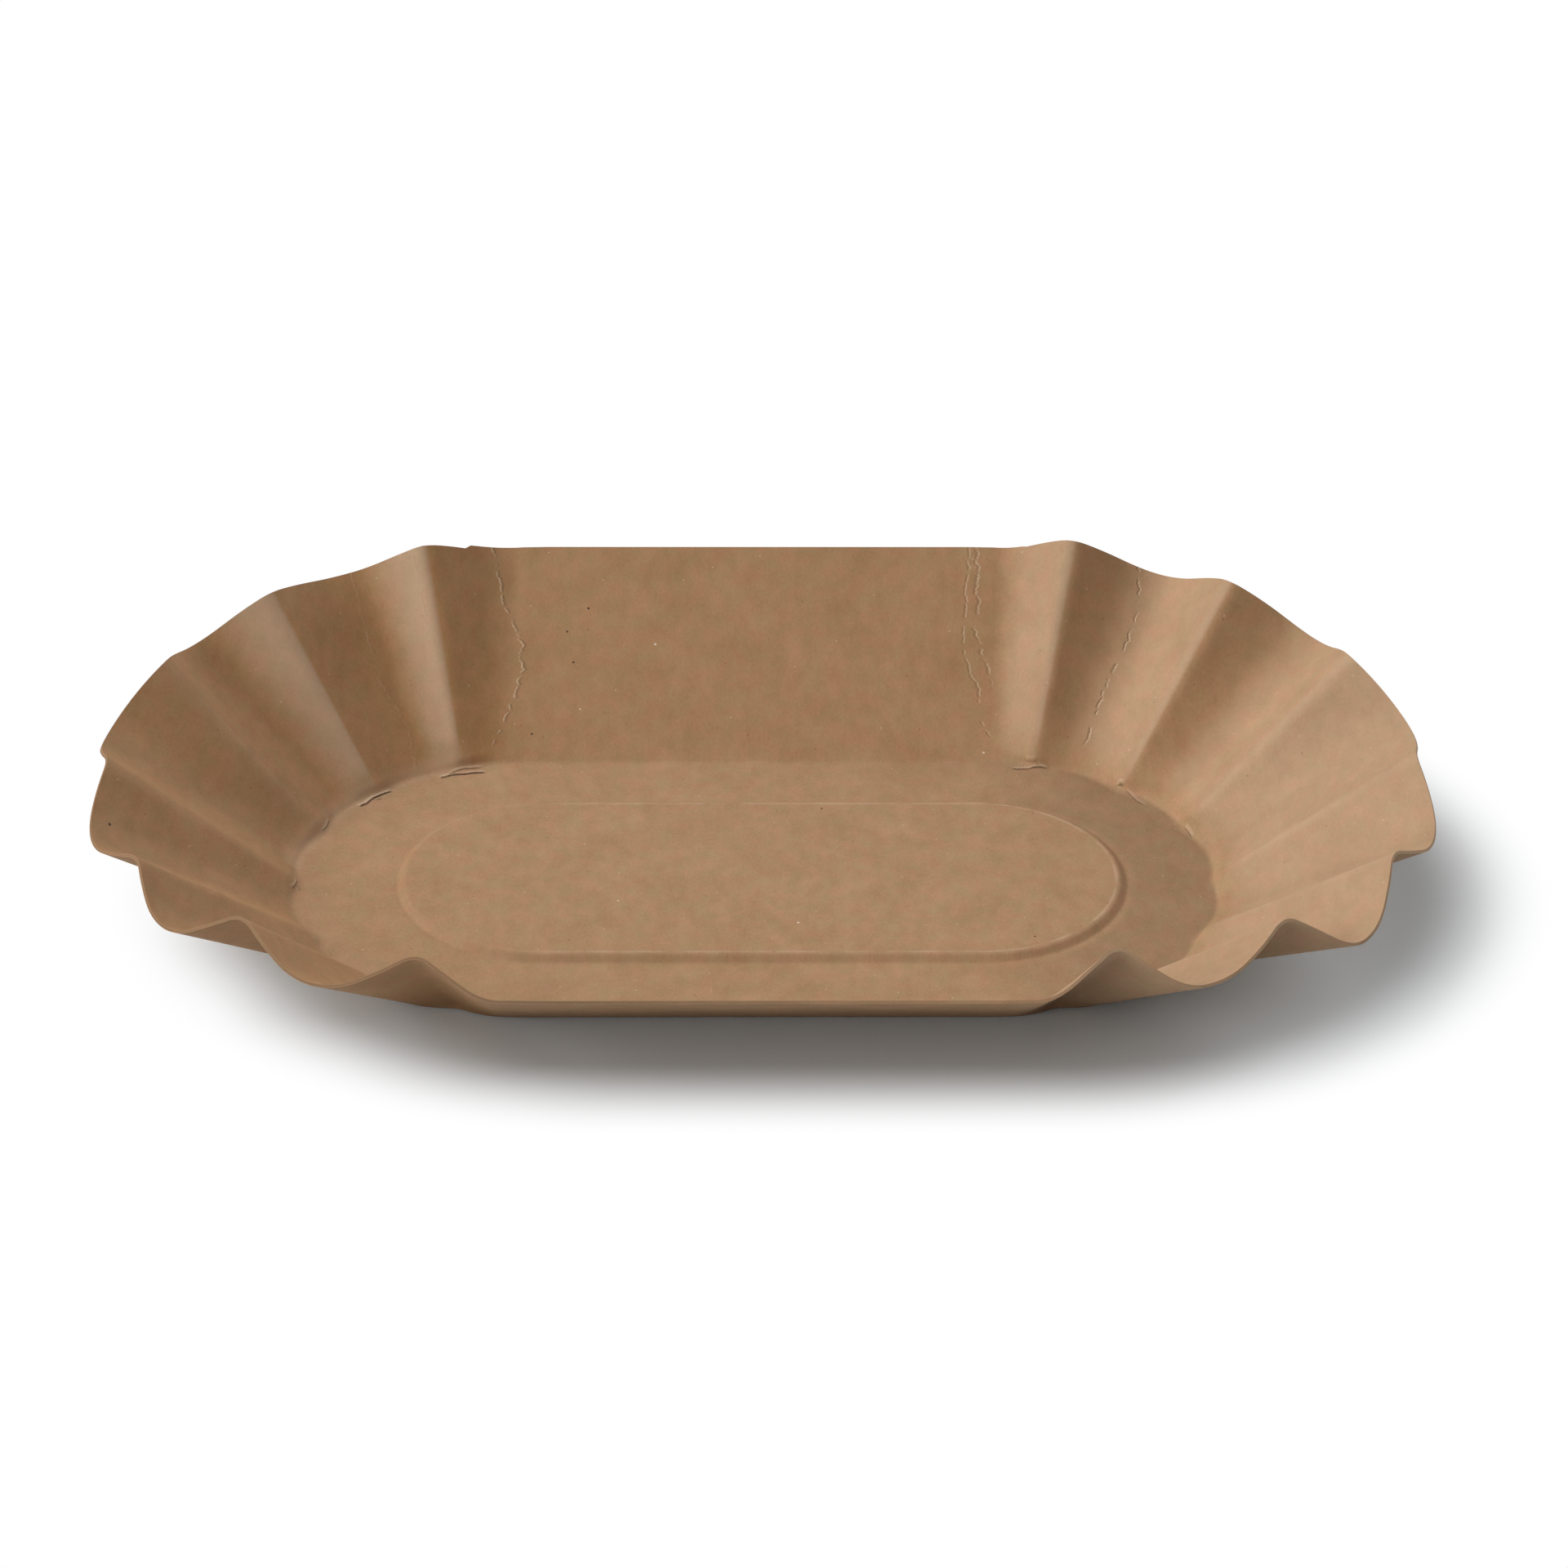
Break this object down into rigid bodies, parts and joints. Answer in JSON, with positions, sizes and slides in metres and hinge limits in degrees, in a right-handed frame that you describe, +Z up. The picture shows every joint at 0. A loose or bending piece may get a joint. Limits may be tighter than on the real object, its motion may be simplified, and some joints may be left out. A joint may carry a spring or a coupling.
{
  "type": "fluted paper food tray",
  "caption": "Oblong kraft board food tray pressed from one sheet, with flat flared front and back walls, fluted round ends and a raised floor panel.",
  "frame": {"origin": "centre of the bounding box at the level that the tray stands on", "axes": "+Z up, X along the tray's length between its two fluted ends, -Y towards the flat wall that the picture shows nearest"},
  "size_m": [0.1766, 0.115, 0.0239],
  "materials": {
    "kraft_board": "matt unbleached kraft board with a faint fibre grain"
  },
  "bodies": {
    "root": {"tray": "kraft_board"}
  },
  "joints": []
}
